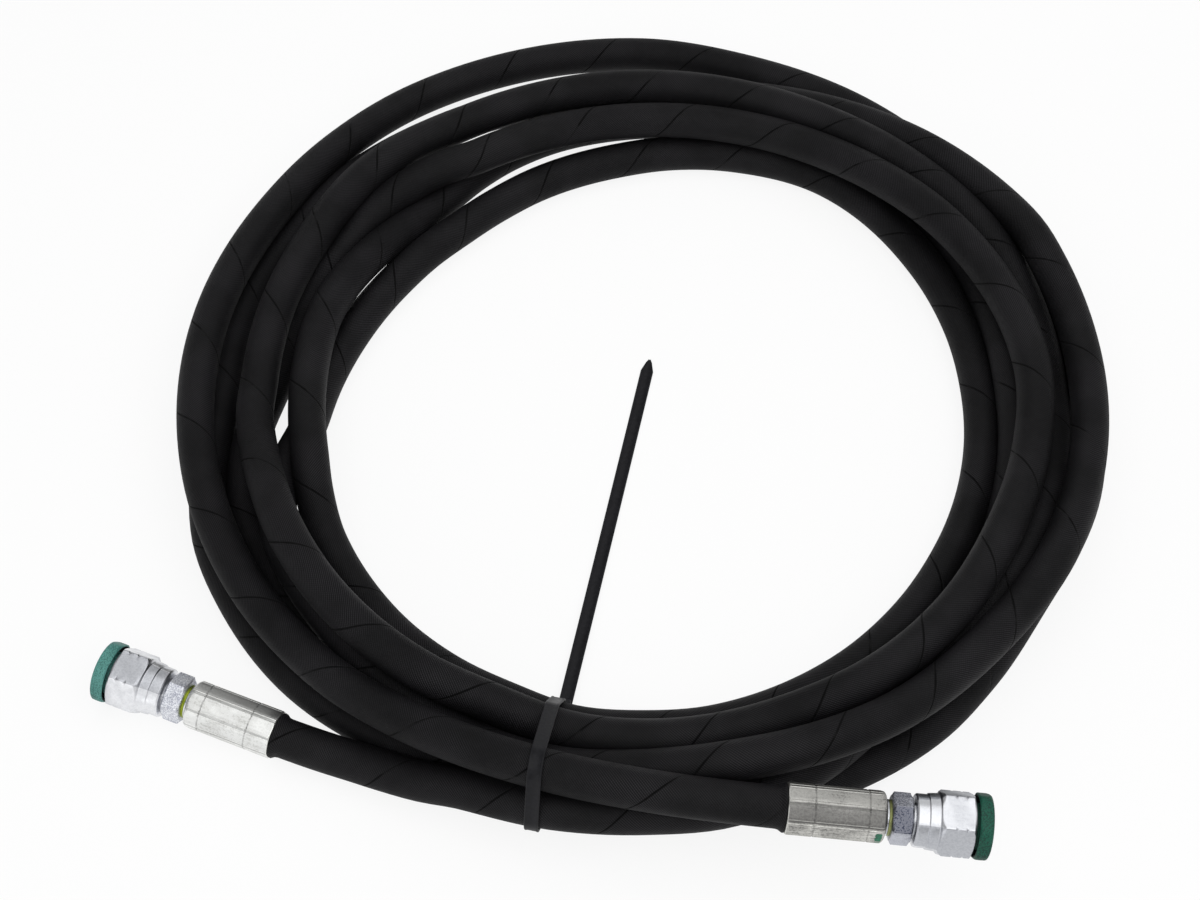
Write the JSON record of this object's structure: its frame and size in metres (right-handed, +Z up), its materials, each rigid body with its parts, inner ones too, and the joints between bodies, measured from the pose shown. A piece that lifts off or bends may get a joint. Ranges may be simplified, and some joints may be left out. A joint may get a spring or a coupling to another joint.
{
  "type": "hydraulic hose assembly",
  "caption": "Coiled high-pressure hydraulic hose with a crimped swivel-nut fitting and a push-in dust plug at each end, held by a cable tie",
  "frame": {"origin": "centre of the bounding box of the whole part, on the floor the coil lies on", "axes": "+Z up; the coil's axis is vertical; +X to the right and +Y to the back with the two fittings at the front; metres"},
  "size_m": [0.5906, 0.6176, 0.0702],
  "materials": {
    "hose_rubber": "matt black rubber with a fine diagonal cloth impression",
    "tie_nylon": "black nylon",
    "ferrule_steel": "zinc plated, crimped",
    "stem_steel": "zinc plated, faint yellow-green passivation on the neck",
    "nut_steel": "bright zinc plated, turned and milled",
    "seal_rubber": "smooth black rubber",
    "plug_plastic": "moulded grey-green polyethylene",
    "braid_wire": "brass-coated steel wire braid"
  },
  "bodies": {
    "hose_and_ends": {"hose": "hose_rubber", "cable_tie": "tie_nylon", "left_ferrule": "ferrule_steel", "left_insert_stem": "stem_steel", "left_nose_o_ring": "seal_rubber", "left_hose_cover": "hose_rubber", "left_outer_braid": "braid_wire", "left_interlayer": "seal_rubber", "left_inner_braid": "braid_wire", "left_inner_tube": "seal_rubber", "right_ferrule": "ferrule_steel", "right_insert_stem": "stem_steel", "right_nose_o_ring": "seal_rubber", "right_hose_cover": "hose_rubber", "right_outer_braid": "braid_wire", "right_interlayer": "seal_rubber", "right_inner_braid": "braid_wire", "right_inner_tube": "seal_rubber"},
    "left_nut": {"left_swivel_nut": "nut_steel"},
    "left_plug": {"left_dust_plug": "plug_plastic"},
    "right_nut": {"right_swivel_nut": "nut_steel"},
    "right_plug": {"right_dust_plug": "plug_plastic"}
  },
  "joints": [
    {"name": "left_nut_spin", "type": "hinge", "parent": "hose_and_ends", "child": "left_nut", "pos_m": [-0.2731, -0.18934, 0.01803], "axis": [-0.9321, 0.3587, 0.0495], "continuous": true},
    {"name": "left_plug_pull", "type": "slide", "parent": "left_nut", "child": "left_plug", "axis": [-0.9321, 0.3587, 0.0495], "range_m": [0, 0.016]},
    {"name": "right_nut_spin", "type": "hinge", "parent": "hose_and_ends", "child": "right_nut", "pos_m": [0.17299, -0.28976, 0.04846], "axis": [0.9953, -0.073, -0.064], "continuous": true},
    {"name": "right_plug_pull", "type": "slide", "parent": "right_nut", "child": "right_plug", "axis": [0.9953, -0.073, -0.064], "range_m": [0, 0.016]}
  ]
}
